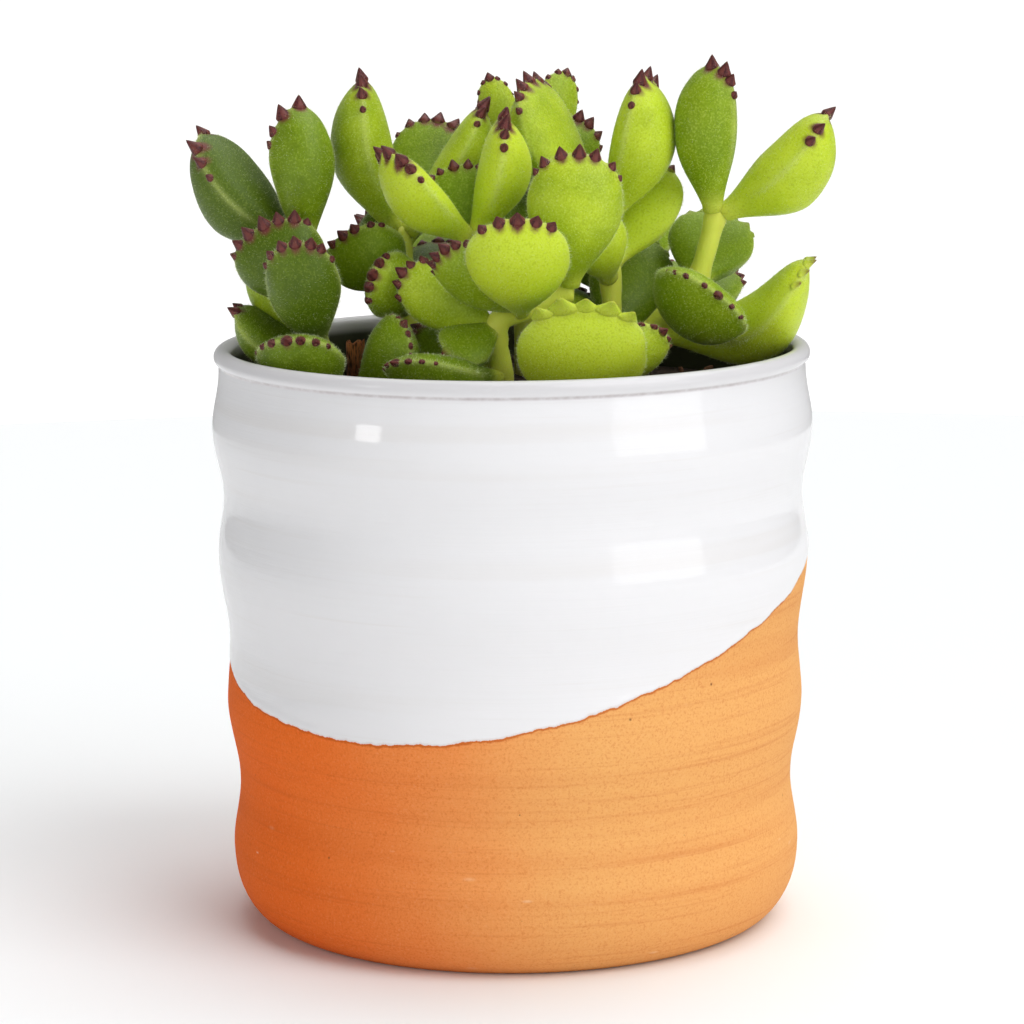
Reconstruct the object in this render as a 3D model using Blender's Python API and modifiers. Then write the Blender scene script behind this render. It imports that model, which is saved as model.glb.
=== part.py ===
"""A bear paw succulent in a slant-glazed clay pot.

Metres, +Z up. The origin is the middle of the pot's flat foot, and -Y is the front. Sizes below are written in
millimetres and multiplied by MM where a mesh is made.
"""

import math
import random
from collections import namedtuple

import bmesh
import bpy
from mathutils import Matrix, Vector

MM = 0.001

# Pot: the outer wall swells and narrows between these throwing rings, written as (height, radius).
FOOT_RADIUS = 60.0
THROWING_RINGS = (
    (18.5, 71.8),
    (35.5, 69.9),
    (56.0, 72.7),
    (71.0, 71.7),
    (93.0, 74.1),
    (108.0, 72.5),
    (124.5, 75.0),
    (139.3, 73.2),
)
POINTS_PER_RING = 2
CORNER_POINTS = 4
BEAD_HEIGHT = 142.4
BEAD_RADIUS = 2.2
BEAD_OUTSIDE = 74.1
BEAD_POINTS = 6
INNER_RADIUS = 69.6
INNER_FOOT_RADIUS = 65.6
FLOOR_THICKNESS = 6.0
FLOOR_CORNER = 9.0
POT_STEPS = 40

# Soil: it fills the pot with a gap all round, and its top is domed and lumpy.
FIT_GAP = 0.3
SOIL_TOP = 131.0
SOIL_DOME = 2.0
SOIL_LUMP = 0.8
SOIL_RINGS = 5
SOIL_STEPS = 40

# Stems stand in plain holes in the soil.
STEM_RADIUS = 2.6
STEM_FOOT = 116.0
HOLE_RADIUS = 3.1
HOLE_SIDES = 10
HOLE_ABOVE = 20.0

# The dry stub of a cut stem.
STUB_PLACE = (-39.0, 0.0)
STUB_RADIUS = 2.7
STUB_TOP = 145.0
STUB_TEAR = 1.6
STUB_SIDES = 10
STUB_SEED = 4

# A leaf is a plump paddle. WIDEST and THICKEST are shares of its length, and it is flatter above than below.
WIDEST = 0.64
THICKEST = 0.55
NECK_RADIUS = 2.3
UPPER_SHARE = 0.75
LOWER_SHARE = 1.25
LEAF_SIDES = 8

# Teeth stand round the leaf's end: one at its tip, then down both margins in turn with the valleys between
# them. Each is written as the angle round the end and the height, and a valley has no height.
TIP_TOOTH = 2.6
LOWER_SECTIONS = (0.12, 0.36)
END_SECTIONS = (
    (88.0, 0.0),
    (76.0, 0.0),
    (66.0, 1.3),
    (56.0, 0.0),
    (46.0, 1.9),
    (35.0, 0.0),
    (24.0, 2.3),
    (12.0, 0.0),
)
TOOTH_LEAN = 0.7

GLAZE_WHITE = (0.86, 0.86, 0.88)
SOIL_BROWN = (0.035, 0.025, 0.018)
BARK_BROWN = (0.20, 0.085, 0.04)
LEAF_GREEN = (0.22, 0.42, 0.06)

Leaf = namedtuple("Leaf", "height tip width thick across tilt bend bare shoulder")


def leaf(height, tip, width, thick, across=0, tilt=0, bend=0.06, bare=0, shoulder=2.8):
    """A leaf that grows from the stem at this height and ends at tip.

    The width runs toward the azimuth across, raised by tilt. The leaf hollows toward its upper face by the share
    bend of its length. Where bare is 1 the margin on that side has no teeth, and where it is -1 the other. A
    smaller shoulder makes its end more pointed.
    """
    return Leaf(height, tip, width, thick, across, tilt, bend, bare, shoulder)


# Each stem is the points of its middle line from its foot up, and the leaves that it carries.
STEMS = {
    "left": (
        ((-44, -9, STEM_FOOT), (-44, -9, 134), (-48, -12, 148), (-50.5, -10, 166), (-51, -10, 171)),
        (
            leaf(168, (-77.5, 2, 199), 21, 17.5, 78, 8),
            leaf(169, (-51.5, -8, 207), 16, 15, -160, bend=0.03, bare=-1, shoulder=1.7),
            leaf(155, (-61, -20, 178.5), 22, 12, 180),
            leaf(146, (-52, -34, 175.2), 17.3, 12, 180),
            leaf(141, (-70, -15, 156), 17, 11, 60, bare=-1),
            leaf(138, (-54.5, -42, 151.5), 20, 14, 180),
            leaf(150, (-66, -1, 167), 12, 10, 90),
            leaf(152, (-57, 23, 166), 18, 11),
        ),
    ),
    "offset": (
        ((-38, -20, STEM_FOOT), (-38, -20, 137)),
        (leaf(134, (-24.5, -29, 155), 16, 12, -56, -24),),
    ),
    "mid_left": (
        ((-25, 4, STEM_FOOT), (-25, 4, 135), (-26, 4, 155), (-28, 5, 173)),
        (
            leaf(171, (-37, 0, 213), 19, 15.5, 90),
            leaf(171, (-5, 11, 205), 19, 12.5, -90),
            leaf(168, (-17.5, 30, 200), 20, 11),
            leaf(160, (-43, -9, 174), 21, 11.5, 90, -50),
            leaf(163, (-38, 16, 175), 18, 11, 100, -60),
            leaf(156, (-34.5, -25, 165), 16, 12.5, 180, -70, shoulder=2.0),
            leaf(150, (-14, 30, 168), 20, 12),
        ),
    ),
    "middle": (
        ((-8, -6, STEM_FOOT), (-8, -6, 135), (-9, -8, 155), (-9.5, -10, 174)),
        (
            leaf(172, (-31, -24, 195.5), 19, 12, 90, -20),
            leaf(172, (-0.5, -16, 204), 20, 13, -85),
            leaf(169, (-14.5, -5, 191.5), 17, 8),
            leaf(158, (8, 12, 183), 20, 12),
        ),
    ),
    "front": (
        ((-2, -23, STEM_FOOT), (-2, -23, 135), (-3.5, -27, 152), (4, -23, 156), (14, -21, 160)),
        (
            leaf(155, (1.5, -51, 181.5), 24, 12, 180),
            leaf(156, (-17.5, -40, 173.5), 16, 9, 180),
            leaf(149, (-28.5, -25, 166.5), 15, 12, 0, 70, shoulder=2.0),
            leaf(160, (16.7, -31, 196.2), 22.5, 13, 180),
            leaf(139.5, (-30, -46, 146), 20, 12.5, 180),
            leaf(152, (-18, -35, 145.5), 14, 8, 180),
            leaf(143, (-25, -10, 150.5), 16, 9),
        ),
    ),
    "front_right": (
        ((15, -19, STEM_FOOT), (15, -19, 133), (16, -21, 142)),
        (
            leaf(135, (17.5, -50, 160.5), 30, 12, 180, bend=0.18),
            leaf(141, (38.5, -33, 152), 16, 11, 180),
        ),
    ),
    "mid_right": (
        ((24.5, 3, STEM_FOOT), (24.5, 3, 135), (25, 3, 155), (23, 2, 176)),
        (
            leaf(174, (34.9, 4, 212.5), 20, 15.5, -112),
            leaf(173, (3.5, 6, 211.5), 24, 15, 62),
            leaf(163, (38.9, 12, 190.3), 19, 10, -20),
            leaf(160, (18, -14, 181), 15, 11, 180),
            leaf(143, (34, 25, 171), 20, 11, 10),
        ),
    ),
    "right": (
        (
            (28.5, 11, STEM_FOOT),
            (28.5, 11, 134),
            (36.5, 7.5, 148),
            (44.5, 6, 154.5),
            (47.7, 5, 163),
            (51.5, 5, 177),
        ),
        (
            leaf(175, (49.9, 0, 215.5), 16.3, 14.5, 138, bare=1),
            leaf(175.5, (80.5, 0, 202.5), 19, 17.5, -98, -4, bend=0.08),
            leaf(158, (54, 24, 176), 21, 10),
            leaf(160, (50.5, -27, 158.5), 25, 15, 180, 38, bend=0.16),
            leaf(146, (75.5, -8, 165.5), 20, 17, -90, -10, bend=0.19),
            leaf(151, (55, 35, 160), 18, 11),
        ),
    ),
    "back": (
        ((3, 30, STEM_FOOT), (3, 30, 135), (4, 28, 160), (5, 28, 178)),
        (
            leaf(176, (-6, 36, 211), 9.5, 9),
            leaf(176, (15.5, 50, 211), 12, 9, 30),
            leaf(167, (18.5, 25, 201), 17, 9, 180),
            leaf(163, (-14, 50, 178), 20, 12),
            leaf(160, (18, 54, 174), 20, 12),
            leaf(146, (16, 58, 152), 20, 12),
        ),
    ),
    "back_left": (
        ((-17, 34, STEM_FOOT), (-17, 34, 135), (-18, 34, 156)),
        (
            leaf(155, (-40, 44, 173), 18, 12, 90),
            leaf(154, (-22, 60, 170), 18, 12),
            leaf(146, (-30, 56, 152), 18, 12),
        ),
    ),
    "back_right": (
        ((31, 38, STEM_FOOT), (31, 38, 135), (32, 38, 158)),
        (
            leaf(157, (35, 60, 176), 18, 12),
            leaf(156, (15, 62, 166), 17, 11, 30),
            leaf(148, (50, 58, 158), 19, 12),
        ),
    ),
}


def clear_scene():
    for thing in list(bpy.data.objects):
        bpy.data.objects.remove(thing, do_unlink=True)


def new_collection(name):
    made = bpy.data.collections.new(name)
    bpy.context.scene.collection.children.link(made)
    return made


def material(name, colour, roughness):
    made = bpy.data.materials.new(name)
    made.use_nodes = True
    shader = made.node_tree.nodes["Principled BSDF"]
    shader.inputs["Base Color"].default_value = (*colour, 1.0)
    shader.inputs["Roughness"].default_value = roughness
    return made


def object_from_bmesh(name, shape, collection):
    mesh = bpy.data.meshes.new(name)
    shape.to_mesh(mesh)
    shape.free()
    made = bpy.data.objects.new(name, mesh)
    collection.objects.link(made)
    return made


def baked(source, name, collection):
    """A mesh object with the evaluated shape of source, which is removed."""
    bpy.context.view_layer.update()
    graph = bpy.context.evaluated_depsgraph_get()
    mesh = bpy.data.meshes.new_from_object(source.evaluated_get(graph))
    shape = bmesh.new()
    shape.from_mesh(mesh)
    bmesh.ops.remove_doubles(shape, verts=shape.verts, dist=0.001 * MM)
    shape.to_mesh(mesh)
    shape.free()
    made = bpy.data.objects.new(name, mesh)
    made.matrix_world = source.matrix_world
    collection.objects.link(made)
    bpy.data.objects.remove(source, do_unlink=True)
    return made


def turned(name, profile, steps, collection):
    """An object turned round Z from (radius, height) points that run down its outer side."""
    shape = bmesh.new()
    points = [shape.verts.new((radius * MM, 0.0, height * MM)) for radius, height in profile]
    for start, end in zip(points[:-1], points[1:]):
        shape.edges.new((start, end))
    made = object_from_bmesh(name, shape, collection)
    screw = made.modifiers.new("Turn", "SCREW")
    screw.steps = steps
    screw.render_steps = steps
    screw.use_merge_vertices = True
    screw.merge_threshold = 0.0001
    return made


def arc(middle, radius, start, end, points):
    """Points of an arc in the profile's plane, from the angle start to end in degrees."""
    turns = [math.radians(start + (end - start) * k / (points - 1)) for k in range(points)]
    return [(middle[0] + radius * math.cos(a), middle[1] + radius * math.sin(a)) for a in turns]


def outer_wall():
    """The wall from its top ring down, eased from one throwing ring to the next."""
    points = []
    rings = THROWING_RINGS[::-1]
    for (top, wide), (low, narrow) in zip(rings[:-1], rings[1:]):
        for k in range(POINTS_PER_RING):
            share = k / POINTS_PER_RING
            ease = (1.0 - math.cos(math.pi * share)) / 2.0
            points.append((wide + (narrow - wide) * ease, top + (low - top) * share))
    return points


def foot_corner():
    """The rounded corner between the lowest ring and the flat foot."""
    height, radius = THROWING_RINGS[0]
    points = []
    for k in range(CORNER_POINTS + 1):
        angle = math.radians(90.0 * (CORNER_POINTS - k) / CORNER_POINTS)
        sideways = (radius - FOOT_RADIUS) * math.sin(angle)
        points.append((FOOT_RADIUS + sideways, height * (1.0 - math.cos(angle))))
    return points


def inner_floor(gap):
    """The inside from the middle of the floor to the top of its rounded corner, moved in by gap."""
    middle = (INNER_FOOT_RADIUS - FLOOR_CORNER, FLOOR_THICKNESS + FLOOR_CORNER)
    corner = arc(middle, FLOOR_CORNER - gap, -90.0, 0.0, CORNER_POINTS)
    return [(0.0, FLOOR_THICKNESS + gap)] + corner


def build_pot(collection):
    bead_middle = (BEAD_OUTSIDE - BEAD_RADIUS, BEAD_HEIGHT)
    bead = arc(bead_middle, BEAD_RADIUS, 180.0, -30.0, BEAD_POINTS)
    profile = inner_floor(0.0) + [(INNER_RADIUS, BEAD_HEIGHT - BEAD_RADIUS)]
    profile += bead + outer_wall() + foot_corner() + [(0.0, 0.0)]
    pot = turned("pot", profile, POT_STEPS, collection)
    pot.data.materials.append(material("glazed clay", GLAZE_WHITE, 0.15))
    return pot


def inner_radius(height):
    """The inside radius of the straight wall between its floor corner and the bead."""
    low = FLOOR_THICKNESS + FLOOR_CORNER
    share = (height - low) / (BEAD_HEIGHT - BEAD_RADIUS - low)
    return INNER_FOOT_RADIUS + (INNER_RADIUS - INNER_FOOT_RADIUS) * share


def raise_lumps(mesh):
    """Domes the top of the soil and makes it uneven, by a formula that fades out at the wall."""
    reach = inner_radius(SOIL_TOP) - FIT_GAP
    for point in mesh.vertices:
        x, y, z = (value / MM for value in point.co)
        if z < SOIL_TOP - 0.5:
            continue
        fade = 1.0 - (math.hypot(x, y) / reach) ** 2
        lumps = math.sin(0.23 * x + 1.1) * math.cos(0.19 * y) + 0.6 * math.sin(0.41 * x - 0.37 * y)
        point.co.z += max(fade, 0.0) * (SOIL_DOME + SOIL_LUMP * lumps) * MM


def build_soil(parts, cutters):
    edge = inner_radius(SOIL_TOP) - FIT_GAP
    top = [(edge * k / SOIL_RINGS, SOIL_TOP) for k in range(SOIL_RINGS + 1)]
    profile = top + inner_floor(FIT_GAP)[::-1]
    block = turned("soil block", profile, SOIL_STEPS, parts)
    soil = baked(block, "soil", parts)
    raise_lumps(soil.data)
    places = [path[0][:2] for path, leaves in STEMS.values()] + [STUB_PLACE]
    for number, (x, y) in enumerate(places):
        cut_hole(soil, number, x, y, cutters)
    soil.data.materials.append(material("potting soil", SOIL_BROWN, 0.95))
    return soil


def cut_hole(soil, number, x, y, cutters):
    foot = STEM_FOOT - FIT_GAP
    depth = SOIL_TOP + HOLE_ABOVE - foot
    shape = bmesh.new()
    place = Matrix.Translation(Vector((x, y, foot + depth / 2.0)) * MM)
    bmesh.ops.create_cone(
        shape,
        cap_ends=True,
        segments=HOLE_SIDES,
        radius1=HOLE_RADIUS * MM,
        radius2=HOLE_RADIUS * MM,
        depth=depth * MM,
        matrix=place,
    )
    cutter = object_from_bmesh(f"hole {number}", shape, cutters)
    cutter.hide_render = True
    cutter.display_type = "WIRE"
    cut = soil.modifiers.new(f"Hole {number}", "BOOLEAN")
    cut.operation = "DIFFERENCE"
    cut.object = cutter


def build_stub(collection):
    """A short cylinder whose top is torn to uneven heights."""
    height = STUB_TOP - STEM_FOOT
    shape = bmesh.new()
    middle = Vector((*STUB_PLACE, STEM_FOOT + height / 2.0)) * MM
    bmesh.ops.create_cone(
        shape,
        cap_ends=True,
        cap_tris=True,
        segments=STUB_SIDES,
        radius1=STUB_RADIUS * MM,
        radius2=STUB_RADIUS * MM,
        depth=height * MM,
        matrix=Matrix.Translation(middle),
    )
    draw = random.Random(STUB_SEED)
    for point in shape.verts:
        if point.co.z > middle.z:
            point.co.z += draw.uniform(-STUB_TEAR, STUB_TEAR) * MM
    stub = object_from_bmesh("stem_stub", shape, collection)
    stub.data.materials.append(material("dry stem", BARK_BROWN, 0.9))
    return stub


def eased(share):
    """0 at a share of 0 or less, 1 at a share of 1 or more, with a smooth rise between."""
    share = min(max(share, 0.0), 1.0)
    return math.sin(share * math.pi / 2.0) ** 2


def swell(t, full, fullest):
    """The growth from the leaf's neck to its fullest place, as a half size."""
    neck_end = 0.03
    return NECK_RADIUS + (full / 2.0 - NECK_RADIUS) * eased((t - neck_end) / (fullest - neck_end)) ** 0.8


def half_width(t, width, shoulder):
    if t < WIDEST:
        return swell(t, width, WIDEST)
    beyond = (t - WIDEST) / (1.0 - WIDEST)
    return width / 2.0 * math.sqrt(max(1.0 - beyond**shoulder, 0.0))


def half_thickness(t, thick):
    if t < THICKEST:
        return swell(t, thick, THICKEST)
    beyond = (t - THICKEST) / (1.0 - THICKEST)
    return thick / 2.0 * max(1.0 - beyond**2, 0.0) ** 0.75


def point_at_height(path, height):
    """The point of the stem's middle line at this height."""
    for start, end in zip(path[:-1], path[1:]):
        if height <= end[2] or end is path[-1]:
            share = min((height - start[2]) / (end[2] - start[2]), 1.0)
            return Vector(start).lerp(Vector(end), share)


def leaf_sections(shoulder):
    """The share of the length, the tooth height and the tooth's angle of every section from root to tip."""
    sections = [(0.0, 0.0, 0.0)] + [(share, 0.0, 0.0) for share in LOWER_SECTIONS]
    for angle, height in END_SECTIONS:
        turn = math.radians(angle)
        share = WIDEST + (1.0 - WIDEST) * math.cos(turn) ** (2.0 / shoulder)
        sections.append((share, height, turn))
    return sections + [(1.0, TIP_TOOTH, 0.0)]


class Blade:
    """The place and the three directions of one leaf, from its root on the stem."""

    def __init__(self, path, plan):
        self.plan = plan
        self.root = point_at_height(path, plan.height)
        line = Vector(plan.tip) - self.root
        self.length = line.length - TIP_TOOTH
        self.along = line.normalized()
        turn = math.radians(plan.across)
        rise = math.radians(plan.tilt)
        level = math.cos(rise)
        side = Vector((math.cos(turn) * level, math.sin(turn) * level, math.sin(rise)))
        side -= self.along * side.dot(self.along)
        self.side = side.normalized()
        self.face = self.side.cross(self.along)

    def middle(self, t):
        sag = self.plan.bend * self.length * math.sin(math.pi * t)
        return self.root + self.along * (self.length * t) - self.face * sag

    def section_point(self, section, turn):
        """The point of a section at this turn round the leaf, which stands out as a tooth on the margins."""
        t, height, lean = section
        up = math.sin(turn)
        thick = half_thickness(t, self.plan.thick) * (UPPER_SHARE if up > 0.0 else LOWER_SHARE)
        point = self.middle(t) + self.side * (half_width(t, self.plan.width, self.plan.shoulder) * math.cos(turn))
        point += self.face * (thick * up)
        if height and abs(up) < 0.01:
            sign = math.copysign(1.0, math.cos(turn))
            if sign != self.plan.bare:
                aim = TOOTH_LEAN * lean
                point += (self.along * math.cos(aim) + self.side * (sign * math.sin(aim))) * height
        return point

    def body(self):
        """The paddle with its teeth, a sphere whose rings are moved to the leaf's sections."""
        sections = leaf_sections(self.plan.shoulder)
        last = len(sections) - 1
        shape = bmesh.new()
        bmesh.ops.create_uvsphere(shape, u_segments=LEAF_SIDES, v_segments=last, radius=1.0)
        for point in shape.verts:
            section = sections[round(math.acos(max(-1.0, min(1.0, point.co.z))) / math.pi * last)]
            if math.hypot(point.co.x, point.co.y) < 1e-4:
                point.co = (self.middle(section[0]) + self.along * section[1]) * MM
            else:
                point.co = self.section_point(section, math.atan2(point.co.y, point.co.x)) * MM
        bmesh.ops.triangulate(shape, faces=shape.faces, quad_method="SHORT_EDGE")
        return shape


def stem_tube(name, path, collection):
    """The stem as a tube along its middle line, with closed ends."""
    curve = bpy.data.curves.new(name, "CURVE")
    curve.dimensions = "3D"
    curve.bevel_depth = STEM_RADIUS * MM
    curve.bevel_resolution = 2
    curve.use_fill_caps = True
    spline = curve.splines.new("POLY")
    spline.points.add(len(path) - 1)
    for point, place in zip(spline.points, path):
        point.co = (*(Vector(place) * MM), 1.0)
    tube = bpy.data.objects.new(name + " tube", curve)
    collection.objects.link(tube)
    return baked(tube, name, collection)


def fuse(base, pieces):
    """Joins every object of the collection pieces to base, and removes them."""
    join = base.modifiers.new("Fuse", "BOOLEAN")
    join.operation = "UNION"
    join.operand_type = "COLLECTION"
    join.collection = pieces
    join.solver = "EXACT"
    bpy.context.view_layer.update()
    graph = bpy.context.evaluated_depsgraph_get()
    joined = bpy.data.meshes.new_from_object(base.evaluated_get(graph))
    base.modifiers.remove(join)
    base.data = joined
    for piece in list(pieces.objects):
        bpy.data.objects.remove(piece, do_unlink=True)
    bpy.data.collections.remove(pieces)


def build_leafy_stem(name, path, leaves, green, collection):
    """A stem with its leaves and their teeth, fused in one body."""
    base = stem_tube("leafy_stem_" + name, path, collection)
    pieces = new_collection(name + " pieces")
    for number, plan in enumerate(leaves):
        object_from_bmesh(f"{name} leaf {number}", Blade(path, plan).body(), pieces)
    fuse(base, pieces)
    base.data.materials.clear()
    base.data.materials.append(green)
    return base


def main():
    clear_scene()
    parts = new_collection("bear_paw_succulent")
    cutters = new_collection("cutters")
    build_pot(parts)
    build_soil(parts, cutters)
    build_stub(parts)
    for name, (path, leaves) in STEMS.items():
        green = material("green of the " + name + " stem", LEAF_GREEN, 0.6)
        build_leafy_stem(name, path, leaves, green, parts)
    for part in parts.objects:
        part.data.shade_smooth()
        part.data.set_sharp_from_angle(angle=math.radians(40.0))


main()
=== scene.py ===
"""The looks of a bear paw succulent in a slant-glazed clay pot, built round its CAD frame.

Everything is in metres in the frame's axes: +Z up, -Y to the front, the middle of the pot's foot at the
origin. Sizes are written in millimetres and multiplied by MM where a mesh is made. The scales and depths
given to a material's nodes are in metres, as their Object coordinates are.
"""

import math
import random
from dataclasses import dataclass

import bmesh
import bpy
import numpy as np
from mathutils import Matrix, Quaternion, Vector, noise


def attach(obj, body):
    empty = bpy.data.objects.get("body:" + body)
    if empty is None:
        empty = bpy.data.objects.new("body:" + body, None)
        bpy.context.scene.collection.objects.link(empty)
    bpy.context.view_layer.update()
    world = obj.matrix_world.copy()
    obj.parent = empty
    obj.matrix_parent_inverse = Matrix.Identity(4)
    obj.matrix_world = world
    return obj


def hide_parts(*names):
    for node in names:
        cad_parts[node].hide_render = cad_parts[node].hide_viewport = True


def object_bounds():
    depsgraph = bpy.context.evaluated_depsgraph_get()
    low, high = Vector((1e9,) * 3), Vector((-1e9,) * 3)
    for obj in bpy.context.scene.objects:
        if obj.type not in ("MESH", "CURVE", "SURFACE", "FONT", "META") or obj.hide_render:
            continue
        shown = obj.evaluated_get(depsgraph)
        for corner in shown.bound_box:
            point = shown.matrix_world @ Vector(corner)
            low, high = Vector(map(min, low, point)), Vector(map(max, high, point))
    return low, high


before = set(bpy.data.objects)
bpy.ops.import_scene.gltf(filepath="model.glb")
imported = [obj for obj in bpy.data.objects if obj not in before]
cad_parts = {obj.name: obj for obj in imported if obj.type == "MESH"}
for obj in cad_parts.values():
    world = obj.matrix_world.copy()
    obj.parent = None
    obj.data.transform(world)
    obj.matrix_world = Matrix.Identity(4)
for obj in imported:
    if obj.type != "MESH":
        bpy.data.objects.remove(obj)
cad_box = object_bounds()


# The view. A long lens stands about a metre in front of the pot, a little above its rim, and looks slightly
# down. It is turned by half a degree about its own axis.
MM = 0.001
LENS = 134.2
SENSOR_WIDTH = 36.0
VIEW_POINT = Vector((-0.3, 0.0, 101.8)) * MM
VIEW_DISTANCE = 957.8 * MM
VIEW_PITCH = math.radians(9.6)
VIEW_ROLL = math.radians(-0.5)


def in_scene(name, data):
    """A new object of this data, linked into the scene."""
    made = bpy.data.objects.new(name, data)
    bpy.context.scene.collection.objects.link(made)
    return made


view_back = Vector((0.0, -math.cos(VIEW_PITCH), math.sin(VIEW_PITCH)))
camera_data = bpy.data.cameras.new("view")
camera_data.lens = LENS
camera_data.sensor_width = SENSOR_WIDTH
camera_data.clip_start = 10.0 * MM
camera = in_scene("view", camera_data)
camera.location = VIEW_POINT + view_back * VIEW_DISTANCE
camera.rotation_mode = "QUATERNION"
camera.rotation_quaternion = (-view_back).to_track_quat("-Z", "Y") @ Quaternion((0, 0, 1), VIEW_ROLL)
bpy.context.scene.camera = camera


# The pot. It is thrown from red earthenware on a wheel, so its wall swells and narrows in soft rings. It was
# dipped at a slant in white glaze, which ends in an uneven line, and below it the fired clay is bare.
FOOT_RADIUS = 60.0
THROWING_RINGS = (
    (18.5, 71.8),
    (35.5, 69.9),
    (56.0, 72.7),
    (71.0, 71.7),
    (93.0, 74.1),
    (108.0, 72.5),
    (124.5, 75.0),
    (139.3, 73.2),
)
ROWS_PER_RING = 10
BEAD_HEIGHT = 142.4
BEAD_RADIUS = 2.2
BEAD_OUTSIDE = 74.1
GROOVE_RADIUS = 73.05
GROOVE_HEIGHT = 140.5
RIM_HEIGHT = 142.5
INNER_RADIUS = 69.6
INNER_FOOT_RADIUS = 65.6
FLOOR_THICKNESS = 6.0
FLOOR_CORNER = 9.0
CORNER_MIDDLE = (INNER_FOOT_RADIUS - FLOOR_CORNER, FLOOR_THICKNESS + FLOOR_CORNER)
POT_STEPS = 240
DIP_HEIGHT = 82.6
DIP_SLOPE = (0.183, 0.298)
DIP_WAVE = 0.55
GLAZE_DEPTH = 0.28
GLAZE_CUTS = (-0.5, 0.0, 0.5, 1.6)
CUT_REACH = 8.0
CUT_TOP = 125.0
LOW_PART = 50.0
OUTSIDE_FROM = 69.0
OUTSIDE_LOW = 67.0
OUTSIDE_HIGH = 69.65
FAR_FROM_DIP = 20.0
GLAZE_WHITE = (0.77, 0.765, 0.78)
GLAZE_THIN = (0.72, 0.70, 0.69)
GLAZE_RIM_SHADE = (0.62, 0.61, 0.625)
GLAZE_LIP = (0.62, 0.50, 0.44)
GLAZE_SPECK = (0.20, 0.17, 0.17)
GROOVE_SHADE = (0.30, 0.22, 0.22)
CLAY_PALE = (0.79, 0.395, 0.13)
CLAY_SHADE_RED = (0.80, 0.148, 0.017)
CLAY_DARK = (0.50, 0.085, 0.008)
CLAY_SPECK = (0.12, 0.030, 0.012)
INNER_SHADE = (0.055, 0.060, 0.035)
CLAY_SCUFF = (0.88, 0.62, 0.40)


def arc(middle, radius, start, end, points):
    """Points of an arc in the profile's plane, from the angle start to end in degrees."""
    turns = [math.radians(start + (end - start) * k / (points - 1)) for k in range(points)]
    return [(middle[0] + radius * math.cos(a), middle[1] + radius * math.sin(a)) for a in turns]


def pot_profile():
    """The pot's section as (radius, height), from the middle of its inner floor over the rim to its foot."""
    corner = arc(CORNER_MIDDLE, FLOOR_CORNER, -90.0, 0.0, 7)
    points = [(0.0, FLOOR_THICKNESS), (30.0, FLOOR_THICKNESS)] + corner
    low = FLOOR_THICKNESS + FLOOR_CORNER
    for k in range(1, 13):
        share = k / 12.0
        radius = INNER_FOOT_RADIUS + (INNER_RADIUS - INNER_FOOT_RADIUS) * share
        points.append((radius, low + (BEAD_HEIGHT - BEAD_RADIUS - low) * share))
    points += arc((BEAD_OUTSIDE - BEAD_RADIUS, BEAD_HEIGHT), BEAD_RADIUS, 172.0, -50.0, 17)
    points += [(GROOVE_RADIUS, 140.3), (GROOVE_RADIUS + 0.08, 139.8)]
    rings = THROWING_RINGS[::-1]
    for (top, wide), (under, narrow) in zip(rings[:-1], rings[1:]):
        for k in range(ROWS_PER_RING):
            share = k / ROWS_PER_RING
            ease = (1.0 - math.cos(math.pi * share)) / 2.0
            points.append((wide + (narrow - wide) * ease, top + (under - top) * share))
    height, radius = THROWING_RINGS[0]
    for k in range(13):
        angle = math.radians(90.0 * (12 - k) / 12)
        wide = FOOT_RADIUS + (radius - FOOT_RADIUS) * math.sin(angle)
        points.append((wide, height * (1.0 - math.cos(angle))))
    return points + [(30.0, 0.0), (0.0, 0.0)]


def turned(points, steps):
    """A closed shape turned round Z from (radius, height) points that start and end on the axis."""
    shape = bmesh.new()
    row = [shape.verts.new((radius * MM, 0.0, height * MM)) for radius, height in points]
    for start, end in zip(row[:-1], row[1:]):
        shape.edges.new((start, end))
    bmesh.ops.spin(
        shape,
        geom=shape.verts[:] + shape.edges[:],
        cent=(0.0, 0.0, 0.0),
        axis=(0.0, 0.0, 1.0),
        angle=math.tau,
        steps=steps,
        use_merge=True,
    )
    bmesh.ops.remove_doubles(shape, verts=shape.verts[:], dist=0.001 * MM)
    bmesh.ops.recalc_face_normals(shape, faces=shape.faces[:])
    return shape


def finished(name, shape, node):
    """The object of this shape, smooth, riding on the root body in the place of the CAD node."""
    mesh = bpy.data.meshes.new(name)
    shape.to_mesh(mesh)
    shape.free()
    mesh.shade_smooth()
    made = in_scene(name, mesh)
    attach(made, "root")
    if node:
        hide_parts(node)
    return made


def gathered(shape, piece):
    """Adds the small shape piece, with its layers, to shape."""
    mesh = bpy.data.meshes.new("gathered")
    piece.to_mesh(mesh)
    piece.free()
    shape.from_mesh(mesh)
    bpy.data.meshes.remove(mesh)


def above_dip(place):
    """How far a point of the wall, in millimetres, stands above the line that the glaze was dipped to."""
    return place.z - DIP_HEIGHT - DIP_SLOPE[0] * place.x - DIP_SLOPE[1] * place.y


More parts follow.
